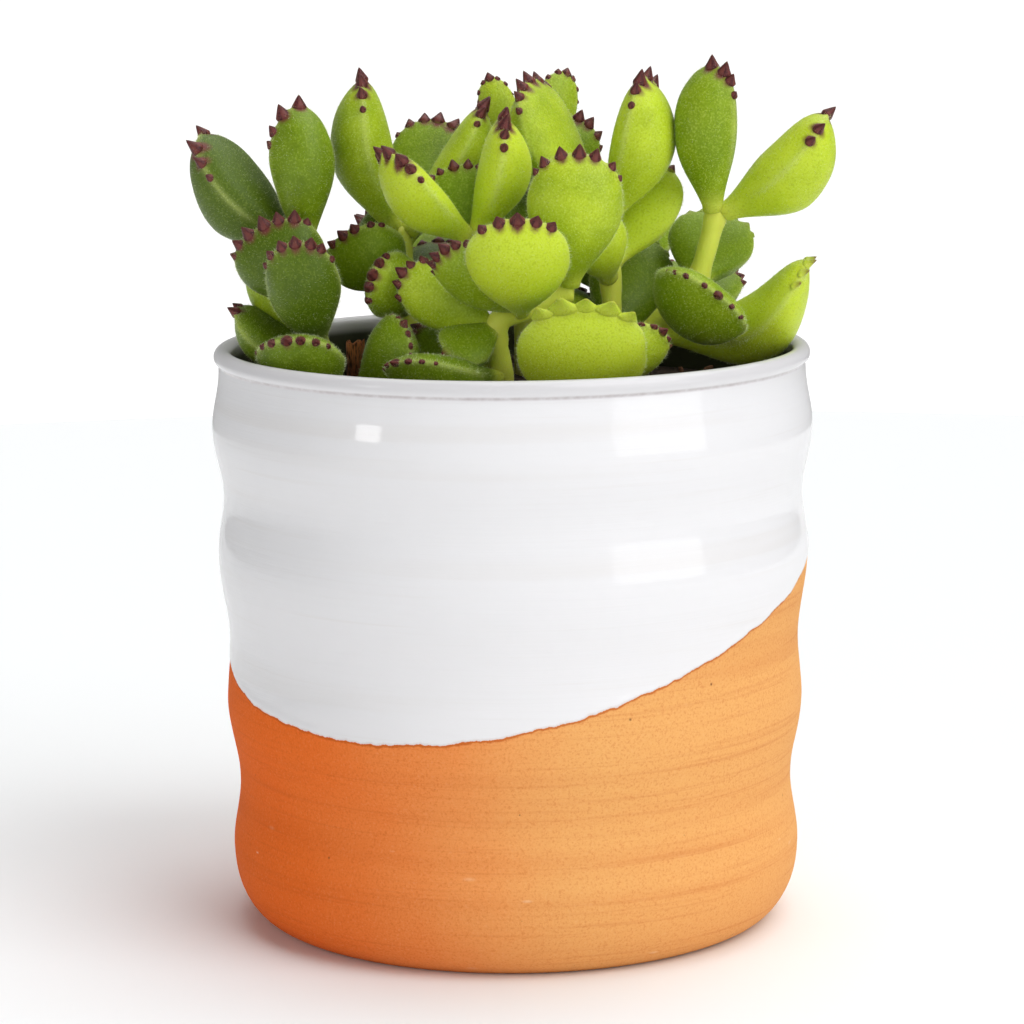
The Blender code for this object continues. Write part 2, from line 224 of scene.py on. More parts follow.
pot_shape = turned(pot_profile(), POT_STEPS)
dip_normal = Vector((-DIP_SLOPE[0], -DIP_SLOPE[1], 1.0))
for cut in GLAZE_CUTS:
    wall_faces = []
    for face in pot_shape.faces:
        middle = face.calc_center_median() / MM
        near = abs(above_dip(middle)) < CUT_REACH and middle.z < CUT_TOP
        if near and math.hypot(middle.x, middle.y) > OUTSIDE_FROM:
            wall_faces.append(face)
    wall_edges = {edge for face in wall_faces for edge in face.edges}
    wall_verts = {vert for face in wall_faces for vert in face.verts}
    bmesh.ops.bisect_plane(
        pot_shape,
        geom=list(wall_verts) + list(wall_edges) + wall_faces,
        dist=0.01 * MM,
        plane_co=Vector((0.0, 0.0, DIP_HEIGHT + cut)) * MM,
        plane_no=dip_normal,
    )
dip_layer = pot_shape.verts.layers.float.new("dip")
for vert in pot_shape.verts:
    place = vert.co / MM
    radius = math.hypot(place.x, place.y)
    if place.z < 0.2:
        vert[dip_layer] = -FAR_FROM_DIP
        continue
    outside_from = OUTSIDE_LOW if place.z < LOW_PART else OUTSIDE_HIGH
    outside = place.z < FLOOR_THICKNESS - 0.1 or radius > outside_from
    if not outside or place.z > BEAD_HEIGHT - 1.5:
        vert[dip_layer] = FAR_FROM_DIP
        continue
    above = above_dip(place)
    vert[dip_layer] = max(-FAR_FROM_DIP, min(FAR_FROM_DIP, above))
    bare = 1.0 - min(max((above + 0.5) / 0.5, 0.0), 1.0)
    roll = math.exp(-(((above - 0.6) / 0.9) ** 2))
    sunk = GLAZE_DEPTH * bare + 0.12 * (1.0 - bare) * (1.0 - roll)
    turn = math.atan2(place.y, place.x)
    sunk += 0.10 * (1.0 + noise.noise(Vector((place.x * 0.03, place.y * 0.03, place.z * 0.16))))
    sway = noise.noise(Vector((9.0 * math.cos(turn), 9.0 * math.sin(turn), 0.0)))
    sway += 0.6 * noise.noise(Vector((31.0 * math.cos(turn), 31.0 * math.sin(turn), 5.0)))
    place.z += DIP_WAVE * sway * math.exp(-((above / 3.0) ** 2))
    place.x *= (radius - sunk) / radius
    place.y *= (radius - sunk) / radius
    vert.co = place * MM
pot = finished("pot_body", pot_shape, "pot")


def node(tree, kind, inputs, **settings):
    """A shader node of this kind with its settings made and its named or numbered inputs set or linked."""
    made = tree.nodes.new("ShaderNode" + kind)
    for name, value in settings.items():
        setattr(made, name, value)
    for key, value in inputs.items():
        if isinstance(value, bpy.types.NodeSocket):
            tree.links.new(value, made.inputs[key])
        else:
            made.inputs[key].default_value = value
    return made


def maths(tree, operation, first, second=0.0, third=0.0):
    """The result of a Math node."""
    return node(tree, "Math", {0: first, 1: second, 2: third}, operation=operation).outputs[0]


def times(tree, first, second):
    """The product of two values."""
    return maths(tree, "MULTIPLY", first, second)


def rest(tree, share):
    """What a share leaves of one."""
    return maths(tree, "SUBTRACT", 1.0, share)


def layer(tree, name):
    """The value that the mesh carries in this layer."""
    return node(tree, "Attribute", {}, attribute_name=name).outputs["Fac"]


def rise(tree, value, low, high):
    """0 where the value is at low, 1 where it is at high, with a smooth rise between."""
    inputs = {"Value": value, "From Min": low, "From Max": high}
    return node(tree, "MapRange", inputs, interpolation_type="SMOOTHSTEP").outputs[0]


def tinted(tree, share, under, over):
    """The colour under, with the colour over it by this share."""
    colours = [value if isinstance(value, bpy.types.NodeSocket) else (*value, 1.0) for value in (under, over)]
    inputs = {0: share, 6: colours[0], 7: colours[1]}
    return node(tree, "Mix", inputs, data_type="RGBA").outputs[2]


def cloud(tree, place, scale, detail=2.0, rough=0.5):
    """The value of a noise at this place."""
    inputs = {"Vector": place, "Scale": scale, "Detail": detail, "Roughness": rough}
    return node(tree, "TexNoise", inputs).outputs[0]


def stretched(tree, place, x, y, z):
    """The place scaled by its own factor along each axis."""
    return node(tree, "Mapping", {"Vector": place, "Scale": (x, y, z)}).outputs[0]


def specks_group():
    """A node group for scattered specks: one in some cells of this spacing, with a soft edge."""
    group = bpy.data.node_groups.new("Specks", "ShaderNodeTree")
    group.interface.new_socket(name="Place", in_out="INPUT", socket_type="NodeSocketVector")
    for name, value in (("Spacing", 0.01), ("Size", 0.2), ("Share", 0.5)):
        socket = group.interface.new_socket(name=name, in_out="INPUT", socket_type="NodeSocketFloat")
        socket.default_value = value
    group.interface.new_socket(name="Mask", in_out="OUTPUT", socket_type="NodeSocketFloat")
    inside = group.nodes.new("NodeGroupInput").outputs
    density = maths(group, "DIVIDE", 1.0, inside["Spacing"])
    cells = node(group, "TexVoronoi", {"Vector": inside["Place"], "Scale": density, "Randomness": 0.9})
    parts = node(group, "SeparateColor", {0: cells.outputs["Color"]})
    chosen = maths(group, "LESS_THAN", parts.outputs[0], inside["Share"])
    own_size = times(group, inside["Size"], maths(group, "MULTIPLY_ADD", parts.outputs[1], 0.8, 0.4))
    near = rest(group, rise(group, cells.outputs["Distance"], 0.0, own_size))
    ends = group.nodes.new("NodeGroupOutput")
    group.links.new(times(group, near, chosen), ends.inputs["Mask"])
    return group


SPECKS = specks_group()


def specks(tree, place, spacing, size, share):
    """The mask of the specks, where size is the speck's radius as a share of the spacing."""
    made = tree.nodes.new("ShaderNodeGroup")
    made.node_tree = SPECKS
    tree.links.new(place, made.inputs["Place"])
    for key, value in (("Spacing", spacing), ("Size", size), ("Share", share)):
        made.inputs[key].default_value = value
    return made.outputs["Mask"]


def new_material(name, **fixed):
    """A material with its tree, its shader and the place of the point, its fixed values set on the shader."""
    made = bpy.data.materials.new(name)
    made.use_nodes = True
    tree = made.node_tree
    shader = tree.nodes["Principled BSDF"]
    for key, value in fixed.items():
        shader.inputs[key.replace("_", " ")].default_value = value
    place = tree.nodes.new("ShaderNodeTexCoord").outputs["Object"]
    return made, tree, shader, place


def feed(tree, shader, **values):
    """Links each value to the shader's socket of its name."""
    for key, value in values.items():
        tree.links.new(value, shader.inputs[key.replace("_", " ")])


def relief(tree, height, depth, strength=1.0, under=None):
    """The normal of a bump of this depth in metres, laid over the normal under it."""
    inputs = {"Height": height, "Distance": depth, "Strength": strength}
    if under is not None:
        inputs["Normal"] = under
    return node(tree, "Bump", inputs).outputs[0]


pot_finish, tree, shader, place = new_material(
    "slant glazed clay", Specular_IOR_Level=0.08, Coat_Roughness=0.065, Coat_IOR=1.5
)
dip = layer(tree, "dip")
ragged = maths(tree, "SUBTRACT", cloud(tree, place, 420.0, 4.0, 0.65), 0.5)
edge = maths(tree, "ADD", dip, times(tree, ragged, 1.5))
glazed = rise(tree, edge, -0.06, 0.06)
line_noise = cloud(tree, stretched(tree, place, 14.0, 14.0, 900.0), 1.0, 4.0, 0.62)
swirl_noise = cloud(tree, stretched(tree, place, 3.5, 3.5, 120.0), 1.0, 2.0)
grain = cloud(tree, place, 1700.0, 3.0, 0.7)
blotch = cloud(tree, place, 38.0, 3.0)
axes = node(tree, "SeparateXYZ", {0: place})
height = axes.outputs[2]
flat_place = stretched(tree, place, 1.0, 1.0, 0.0)
wall_radius = node(tree, "VectorMath", {0: flat_place}, operation="LENGTH").outputs[1]

white = tinted(tree, times(tree, rise(tree, swirl_noise, 0.52, 0.70), 0.5), GLAZE_WHITE, GLAZE_THIN)
white = tinted(tree, times(tree, rise(tree, line_noise, 0.55, 0.75), 0.35), white, GLAZE_THIN)
white = tinted(tree, specks(tree, place, 0.011, 0.045, 0.32), white, GLAZE_SPECK)
lip = rest(tree, rise(tree, edge, 0.05, 0.7))
white = tinted(tree, times(tree, lip, 0.45), white, GLAZE_LIP)
# Painted shade: the bead and the top of the rim are made a darker grey, held down against the light that
# falls on them from above.
on_rim = rise(tree, height, GROOVE_HEIGHT * MM, RIM_HEIGHT * MM)
white = tinted(tree, times(tree, on_rim, 0.85), white, GLAZE_RIM_SHADE)
# Painted shade: a dark, uneven line in the groove under the bead.
off_groove = maths(tree, "ABSOLUTE", maths(tree, "SUBTRACT", height, GROOVE_HEIGHT * MM))
groove = rest(tree, rise(tree, off_groove, 0.0, 0.0007))
groove = times(tree, groove, rise(tree, wall_radius, 0.0715, 0.0725))
groove = times(tree, groove, maths(tree, "MULTIPLY_ADD", ragged, 0.9, 0.40))
white = tinted(tree, groove, white, GROOVE_SHADE)
# Painted shade: the inner wall below the rim is a dark grey-green, for the shade that falls into the pot
# under the leaves.
inside = rest(tree, rise(tree, wall_radius, 0.0695, 0.0705))
inside = times(tree, inside, rest(tree, rise(tree, height, 0.1400, 0.1430)))
white = tinted(tree, inside, white, INNER_SHADE)

# Painted shade: the clay turns redder and darker towards the left, the side in shade, and paler towards the
# right.
across = maths(tree, "MULTIPLY_ADD", blotch, 0.02, axes.outputs[0])
clay = tinted(tree, rise(tree, across, -0.052, 0.035), CLAY_SHADE_RED, CLAY_PALE)
clay = tinted(tree, times(tree, rise(tree, swirl_noise, 0.48, 0.70), 0.15), clay, CLAY_DARK)
clay = tinted(tree, times(tree, rise(tree, line_noise, 0.50, 0.72), 0.22), clay, CLAY_DARK)
foot_shade = rest(tree, rise(tree, height, 0.004, 0.030))
clay = tinted(tree, times(tree, foot_shade, 0.12), clay, CLAY_DARK)
clay = tinted(tree, times(tree, rise(tree, grain, 0.50, 0.68), 0.32), clay, CLAY_DARK)
clay = tinted(tree, times(tree, rise(tree, grain, 0.46, 0.32), 0.07), clay, CLAY_SCUFF)
clay = tinted(tree, specks(tree, place, 0.0065, 0.075, 0.25), clay, CLAY_SPECK)
scuff = specks(tree, stretched(tree, place, 1.0, 1.0, 3.4), 0.016, 0.16, 0.38)
scuff = times(tree, scuff, rest(tree, rise(tree, height, 0.018, 0.036)))
clay = tinted(tree, times(tree, scuff, 0.85), clay, CLAY_SCUFF)
off_seam = maths(tree, "ABSOLUTE", maths(tree, "ADD", edge, 0.3))
seam = rest(tree, rise(tree, off_seam, 0.05, 0.55))
clay = tinted(tree, times(tree, seam, 0.75), clay, CLAY_DARK)

clay_rough = maths(tree, "MULTIPLY_ADD", grain, 0.2, 0.66)
glaze_rough = maths(tree, "MULTIPLY_ADD", blotch, 0.2, 0.3)
rough_mix = node(tree, "Mix", {0: glazed, 2: clay_rough, 3: glaze_rough})
rings = relief(tree, swirl_noise, 0.0011, 0.16)
rings = relief(tree, line_noise, 0.00022, 0.35, rings)
dimples = times(tree, cloud(tree, place, 150.0, 1.0), glazed)
rings = relief(tree, dimples, 0.0004, 0.3, rings)
grit = times(tree, grain, rest(tree, glazed))
rings = relief(tree, grit, 0.00022, 0.7, rings)
feed(
    tree,
    shader,
    Base_Color=tinted(tree, glazed, clay, white),
    Roughness=rough_mix.outputs[0],
    Coat_Weight=times(tree, glazed, 0.62),
    Normal=relief(tree, glazed, 0.0002, 0.6, rings),
)
pot.data.materials.append(pot_finish)


# The soil. Dark potting mix of peat and bark fills the pot to about 12 mm below its rim. Its top is domed and
# lumpy, and crumbs and chips of bark lie loose on it.
FIT_GAP = 0.3
SOIL_TOP = 131.0
SOIL_REACH = 68.9
SOIL_DOME = 2.0
SOIL_LUMP = 0.8
SOIL_STEPS = 150
SOIL_RINGS = 46
CRUMBS = 340
CRUMB_SIZES = (0.5, 1.9)
CRUMB_SEED = 11
PEAT = (0.030, 0.020, 0.014)
PEAT_PALE = (0.10, 0.062, 0.038)
BARK_CHIP = (0.19, 0.085, 0.040)
SOIL_GRIT = (0.26, 0.21, 0.16)


def soil_height(x, y):
    """The soil's height at this place, before its crumbs."""
    fade = max(1.0 - (math.hypot(x, y) / SOIL_REACH) ** 2, 0.0)
    lumps = math.sin(0.23 * x + 1.1) * math.cos(0.19 * y) + 0.6 * math.sin(0.41 * x - 0.37 * y)
    return SOIL_TOP + fade * (SOIL_DOME + SOIL_LUMP * lumps)


soil_edge = INNER_FOOT_RADIUS + (INNER_RADIUS - INNER_FOOT_RADIUS) * 0.93 - FIT_GAP
soil_corner = arc(CORNER_MIDDLE, FLOOR_CORNER - FIT_GAP, 0.0, -90.0, 5)
soil_profile = [(soil_edge * k / SOIL_RINGS, SOIL_TOP) for k in range(SOIL_RINGS + 1)]
soil_shape = turned(soil_profile + soil_corner + [(0.0, FLOOR_THICKNESS + FIT_GAP)], SOIL_STEPS)
for vert in soil_shape.verts:
    spot = vert.co / MM
    if spot.z > SOIL_TOP - 0.5:
        fade = min(max((soil_edge - math.hypot(spot.x, spot.y)) / 3.0, 0.0), 1.0)
        rough = noise.fractal(Vector((spot.x, spot.y, 0.0)) * 0.35, 0.8, 2.2, 4)
        vert.co.z = (soil_height(spot.x, spot.y) + fade * (0.75 * rough - 0.4)) * MM
draw = random.Random(CRUMB_SEED)
soil_shape.verts.layers.float.new("chip")
for number in range(CRUMBS):
    angle = draw.uniform(0.0, math.tau)
    far = 66.0 * math.sqrt(draw.random())
    size = CRUMB_SIZES[0] + (CRUMB_SIZES[1] - CRUMB_SIZES[0]) * draw.random() ** 2.5
    spot = Vector((far * math.cos(angle), far * math.sin(angle), 0.0))
    spot.z = soil_height(spot.x, spot.y) + size * 0.15
    turn = Quaternion((draw.gauss(0, 1), draw.gauss(0, 1), draw.gauss(0, 1), draw.gauss(0, 1))).normalized()
    chip = draw.random()
    long = 1.6 if chip > 0.75 else 1.1
    stretch = Matrix.Diagonal((size * long, size, size * (0.45 if chip > 0.75 else 0.8), 1.0))
    level = Matrix.Translation(spot) @ (turn.to_matrix().to_4x4() @ stretch)
    crumb = bmesh.new()
    chip_layer = crumb.verts.layers.float.new("chip")
    bmesh.ops.create_icosphere(crumb, subdivisions=2, radius=1.0)
    for vert in crumb.verts:
        bulge = 1.0 + 0.35 * noise.noise(vert.co * 1.4 + Vector((number, 0.0, 0.0)))
        vert.co = (level @ (vert.co * bulge)) * MM
        vert[chip_layer] = chip
    gathered(soil_shape, crumb)
soil = finished("soil_top", soil_shape, "soil")

soil_finish, tree, shader, place = new_material("peat and bark", Specular_IOR_Level=0.25)
chip = layer(tree, "chip")
crumbly = cloud(tree, place, 900.0, 5.0, 0.7)
peat = tinted(tree, rise(tree, crumbly, 0.42, 0.72), PEAT, PEAT_PALE)
peat = tinted(tree, times(tree, rise(tree, chip, 0.70, 0.95), 0.8), peat, BARK_CHIP)
peat = tinted(tree, specks(tree, place, 0.004, 0.16, 0.10), peat, SOIL_GRIT)
dull = maths(tree, "MULTIPLY_ADD", crumbly, 0.2, 0.75)
feed(tree, shader, Base_Color=peat, Roughness=dull, Normal=relief(tree, crumbly, 0.0012, 0.9))
soil.data.materials.append(soil_finish)


# The stub. A stem was snapped off here long ago and dried to wood. Its bark is ribbed and reddish brown, and
# its top is torn open to pale orange fibres.
STUB_PLACE = (-39.0, 0.0)
STUB_RADIUS = 2.3
STUB_TOP = 145.0
STUB_FOOT = 116.0
STUB_SIDES = 28
STUB_RINGS = 30
STUB_HOLLOW_RINGS = 5.0
BARK_DARK = (0.070, 0.028, 0.016)
BARK_RED = (0.36, 0.12, 0.052)
TORN_WOOD = (0.75, 0.27, 0.10)


def budded(shape, sides, rings, place_of):
    """Adds to shape a sphere whose points go to place_of(ring, angle), which also gives their layers' values.

    Ring 0 and the last ring are its poles. The faces point outwards where the first ring is the root, and the
    angle turns from the direction side to the direction side x along.
    """
    bud = bmesh.new()
    layers = {key: bud.verts.layers.float.new(key) for key in shape.verts.layers.float.keys()}
    bmesh.ops.create_uvsphere(bud, u_segments=sides, v_segments=rings, radius=1.0)
    for vert in bud.verts:
        ring = round(math.acos(max(-1.0, min(1.0, vert.co.z))) / math.pi * rings)
        spot, values = place_of(ring, math.atan2(vert.co.y, vert.co.x))
        vert.co = spot * MM
        for key, value in values.items():
            vert[layers[key]] = value
    gathered(shape, bud)


def stub_point(ring, angle):
    """The bark up to the torn rim, and from there the hollow between the fibres."""
    share = min(ring / (STUB_RINGS - STUB_HOLLOW_RINGS), 1.0)
    spot = Vector((*STUB_PLACE, STUB_FOOT + (STUB_TOP - STUB_FOOT) * share))
    torn = noise.noise(Vector((2.2 * math.cos(angle), 2.2 * math.sin(angle), 3.0)))
    torn += 0.5 * noise.noise(Vector((7.0 * math.cos(angle), 7.0 * math.sin(angle), 1.0)))
    spot.z += 2.0 * torn * share**6
    inward = max(ring - (STUB_RINGS - STUB_HOLLOW_RINGS), 0.0) / STUB_HOLLOW_RINGS
    spot.z -= 1.6 * math.sin(inward * math.pi / 2.0)
    radius = STUB_RADIUS * (1.0 + 0.07 * math.cos(5.0 * angle + 0.6) + 0.1 * noise.noise(spot * 0.4))
    radius *= 1.0 - inward
    if ring == 0:
        radius = 0.0
    torn_share = min(max((spot.z - STUB_TOP + 6.5) / 5.0, 0.0), 1.0)
    return spot + Vector((math.cos(angle), -math.sin(angle), 0.0)) * radius, {"torn": torn_share}


stub_shape = bmesh.new()
stub_shape.verts.layers.float.new("torn")
budded(stub_shape, STUB_SIDES, STUB_RINGS, stub_point)
bmesh.ops.recalc_face_normals(stub_shape, faces=stub_shape.faces[:])
stub = finished("stub_bark", stub_shape, "stem_stub")

stub_finish, tree, shader, place = new_material("dry bark", Specular_IOR_Level=0.3)
torn = layer(tree, "torn")
fibre = cloud(tree, stretched(tree, place, 1.0, 1.0, 0.18), 1900.0, 4.0, 0.65)
bark = tinted(tree, rise(tree, fibre, 0.40, 0.66), BARK_DARK, BARK_RED)
bark = tinted(tree, times(tree, torn, rise(tree, fibre, 0.30, 0.55)), bark, TORN_WOOD)
dull = maths(tree, "MULTIPLY_ADD", fibre, 0.25, 0.65)
feed(tree, shader, Base_Color=bark, Roughness=dull, Normal=relief(tree, fibre, 0.0006, 0.9))
stub.data.materials.append(stub_finish)


# The leafy stems. Each is a fleshy stem with pairs of plump, paddle-shaped leaves, flatter above than below.
# Round its end a leaf carries maroon teeth, ribbed and pointed, on a low swollen margin.
STEM_RADIUS = 2.6
STEM_FOOT = 116.0
STEM_SIDES = 16
WIDEST = 0.64
THICKEST = 0.55
NECK_RADIUS = 2.3
NECK_FLARE = 0.7
UPPER_SHARE = 0.75
LOWER_SHARE = 1.25
LEAF_SIDES = 40
BLADE_RINGS = 14
END_RINGS = 27
TIP_TOOTH = 3.3
TOOTH_LEAN = 0.7
TEETH = ((0.0, 3.5), (21.0, 3.5), (42.0, 2.8), (60.0, 1.7), (75.0, 1.2))
LAST_TOOTH = 87.0
FULL_TOOTHED_WIDTH = 17.0
TOOTH_SIDES = 12
TOOTH_RINGS = 10
TOOTH_RIBS = 4
TOOTH_ROOT = 2.2
MARGIN_RIDGE = 0.40
SWELLING = 1.2
STAIN_WIDTH = 2.7
STAIN_LENGTH = 4.6
STAIN_REACH = 5.0
LEAF_SEED = 3


@dataclass
class Leaf:
    """A leaf's plan: where it leaves the stem, its tip, its full width and thickness, and how it is turned.

    Its blade spreads in the direction across, in degrees from the right, and tilt lifts that side. The margin
    on the side bare has no teeth, and the others have this many besides the tip's. The teeth are larger or
    smaller by the factor fang, stand further from the tip by the angle start, and red is how far they and the
    margin have turned maroon. The tone runs from -1 for a dark leaf to 1 for a bright one; a given tone is
    painted light and shade, low for a leaf that stands in shade and high for a lit one.
    """

    height: float
    tip: tuple
    width: float
    thick: float
    across: float = 0.0
    tilt: float = 0.0
    bend: float = 0.06
    bare: int = 0
    shoulder: float = 2.8
    teeth: int = 3
    fang: float = 1.0
    start: float = 0.0
    red: float = 1.0
    tone: float | None = None


# The tips of the broad pale leaf over the rim and of the leaf furthest right.
PALE_TIP = (17.5, -50, 160.5)
FAR_TIP = (80.5, 0, 202.5)

# The tones given to the leaves below paint their light and shade: low for leaves that stand in shade, high
# for lit ones.
STEMS = {
    "left": (
        ((-44, -9, STEM_FOOT), (-44, -9, 134), (-48, -12, 148), (-50.5, -10, 166), (-51, -10, 171)),
        (
            Leaf(168, (-77.5, 2, 199), 21, 17.5, 78, 8, start=28, tone=-1.0),
            Leaf(169, (-51.5, -8, 207), 16, 15, -160, bend=0.03, bare=-1, shoulder=1.7, start=12, tone=-0.4),
            Leaf(155, (-61, -20, 178.5), 22, 12, 180, tone=-0.9),
            Leaf(146, (-52, -34, 175.2), 17.3, 12, 180, fang=0.8, tone=-0.8),
            Leaf(141, (-70, -15, 156), 17, 11, 60, bare=-1, teeth=1, fang=0.7, tone=-0.5),
            Leaf(138, (-54.5, -42, 151.5), 20, 14, 180, fang=0.6, tone=-0.5),
            Leaf(150, (-66, -1, 167), 12, 10, 90),
            Leaf(152, (-57, 23, 166), 18, 11),
        ),
    ),
    "offset": (
        ((-38, -20, STEM_FOOT), (-38, -20, 137)),
        (Leaf(134, (-24.5, -29, 155), 16, 12, -56, -24, fang=0.35, red=0.7, tone=-0.35),),
    ),
    "mid_left": (
        ((-25, 4, STEM_FOOT), (-25, 4, 135), (-26, 4, 155), (-28, 5, 173)),
        (
            Leaf(171, (-37, 0, 213), 19, 15.5, 90, tone=0.42),
            Leaf(171, (-5, 11, 205), 19, 12.5, -90, tone=0.6),
            Leaf(168, (-17.5, 30, 200), 20, 11, tone=-0.3),
            Leaf(160, (-43, -9, 174), 21, 11.5, 90, -50, fang=0.7, tone=-0.15),
            Leaf(163, (-38, 16, 175), 18, 11, 100, -60, fang=0.6, tone=-0.7),
            Leaf(156, (-34.5, -25, 165), 16, 12.5, 180, -70, shoulder=2.0, teeth=2, fang=0.8, tone=0.3),
            Leaf(150, (-14, 30, 168), 20, 12),
        ),
    ),
    "middle": (
        ((-8, -6, STEM_FOOT), (-8, -6, 135), (-9, -8, 155), (-9.5, -10, 174)),
        (
            Leaf(172, (-31, -24, 195.5), 19, 12, 90, -20, start=9, tone=1.0),
            Leaf(172, (-0.5, -16, 204), 20, 13, -85, tone=1.0),
            Leaf(169, (-14.5, -5, 191.5), 17, 8, fang=0.6, tone=-0.1),
            Leaf(158, (8, 12, 183), 20, 12),
        ),
    ),
    "front": (
        ((-2, -23, STEM_FOOT), (-2, -23, 135), (-3.5, -27, 152), (4, -23, 156), (14, -21, 160)),
        (
            Leaf(155, (1.5, -51, 181.5), 24, 12, 180, teeth=2, tone=1.0),
            Leaf(156, (-17.5, -40, 173.5), 16, 9, 180, fang=0.85, tone=0.3),
            Leaf(149, (-28.5, -25, 166.5), 15, 12, 0, 70, shoulder=2.0, teeth=2, fang=0.8, tone=0.45),
            Leaf(160, (16.7, -31, 196.2), 22.5, 13, 180, fang=0.9, tone=0.5),
            Leaf(139.5, (-30, -46, 146), 20, 12.5, 180, fang=0.4, red=0.7, tone=-0.55),
            Leaf(152, (-18, -35, 145.5), 14, 8, 180, teeth=0, fang=0.5, red=0.3, tone=0.0),
            Leaf(143, (-25, -10, 150.5), 16, 9),
        ),
    ),
    "front_right": (
        ((15, -19, STEM_FOOT), (15, -19, 133), (16, -21, 142)),
        (
            Leaf(135, PALE_TIP, 30, 12, 180, bend=0.18, shoulder=3.4, teeth=2, fang=1.4, red=0.10, tone=1.0),
            Leaf(141, (38.5, -33, 152), 16, 11, 180, fang=0.5, red=0.6, tone=0.6),
        ),
    ),
    "mid_right": (
        ((24.5, 3, STEM_FOOT), (24.5, 3, 135), (25, 3, 155), (23, 2, 176)),
        (
            Leaf(174, (34.9, 4, 212.5), 20, 15.5, -112, start=10, tone=0.7),
            Leaf(173, (3.5, 6, 211.5), 24, 15, 62, tone=0.5),
            Leaf(163, (38.9, 12, 190.3), 19, 10, -20, teeth=1, fang=0.6, red=0.6, tone=1.0),
            Leaf(160, (18, -14, 181), 15, 11, 180, fang=0.5, tone=0.8),
            Leaf(143, (34, 25, 171), 20, 11, 10, fang=0.5, red=0.2, tone=-0.5),
        ),
    ),
    "right": (
        (
            (28.5, 11, STEM_FOOT),
            (28.5, 11, 134),
            (36.5, 7.5, 148),
            (44.5, 6, 154.5),
            (47.7, 5, 163),
            (51.5, 5, 177),
        ),
        (
            Leaf(175, (49.9, 0, 215.5), 16.3, 14.5, 138, bare=1, start=5, tone=0.1),
            Leaf(175.5, FAR_TIP, 19, 17.5, -98, -4, bend=0.08, teeth=2, fang=0.9, start=25, tone=0.8),
            Leaf(158, (54, 24, 176), 21, 10, fang=0.6, red=0.15, tone=0.0),
            Leaf(160, (50.5, -27, 158.5), 25, 15, 180, 38, bend=0.16, teeth=4, fang=0.33, red=0.9, tone=0.15),
            Leaf(146, (75.5, -8, 165.5), 20, 17, -90, -10, bend=0.19, teeth=2, fang=0.8, red=0.2, tone=0.85),
            Leaf(151, (55, 35, 160), 18, 11),
        ),
    ),
    "back": (
        ((3, 30, STEM_FOOT), (3, 30, 135), (4, 28, 160), (5, 28, 178)),
        (
            Leaf(176, (-6, 36, 211), 9.5, 9, fang=0.6, tone=0.5),
            Leaf(176, (15.5, 50, 211), 12, 9, 30, fang=0.6, tone=0.4),
            Leaf(167, (18.5, 25, 201), 17, 9, 180, fang=0.8, tone=-0.1),
            Leaf(163, (-14, 50, 178), 20, 12),
            Leaf(160, (18, 54, 174), 20, 12),
            Leaf(146, (16, 58, 152), 20, 12),
        ),
    ),
    "back_left": (
        ((-17, 34, STEM_FOOT), (-17, 34, 135), (-18, 34, 156)),
        (
            Leaf(155, (-40, 44, 173), 18, 12, 90),
            Leaf(154, (-22, 60, 170), 18, 12),
            Leaf(146, (-30, 56, 152), 18, 12),
        ),
    ),
    "back_right": (
        ((31, 38, STEM_FOOT), (31, 38, 135), (32, 38, 158)),
        (
            Leaf(157, (35, 60, 176), 18, 12),
            Leaf(156, (15, 62, 166), 17, 11, 30),
            Leaf(148, (50, 58, 158), 19, 12),
        ),
    ),
}


def eased(share):
    """0 at a share of 0 or less, 1 at a share of 1 or more, with a smooth rise between."""
    share = min(max(share, 0.0), 1.0)
    return math.sin(share * math.pi / 2.0) ** 2


def swell(t, full, fullest):
    """The growth from the leaf's neck to its fullest place, as a half size."""
    return NECK_RADIUS + (full / 2.0 - NECK_RADIUS) * eased((t - 0.03) / (fullest - 0.03)) ** 0.8


def half_width(t, width, shoulder):
    """Half the leaf's width at this share of its length."""
    if t < WIDEST:
        return swell(t, width, WIDEST)
    beyond = (t - WIDEST) / (1.0 - WIDEST)
    return width / 2.0 * math.sqrt(max(1.0 - beyond**shoulder, 0.0))


def half_thickness(t, thick):
    """Half the leaf's thickness at this share of its length."""
    if t < THICKEST:
        return swell(t, thick, THICKEST)
    beyond = (t - THICKEST) / (1.0 - THICKEST)
    return thick / 2.0 * max(1.0 - beyond**2.3, 0.0) ** 0.62


def point_at_height(path, height):
    """The point of the stem's middle line at this height."""
    for start, end in zip(path[:-1], path[1:]):
        if height <= end[2] or end is path[-1]:
            share = min((height - start[2]) / (end[2] - start[2]), 1.0)
            return Vector(start).lerp(Vector(end), share)


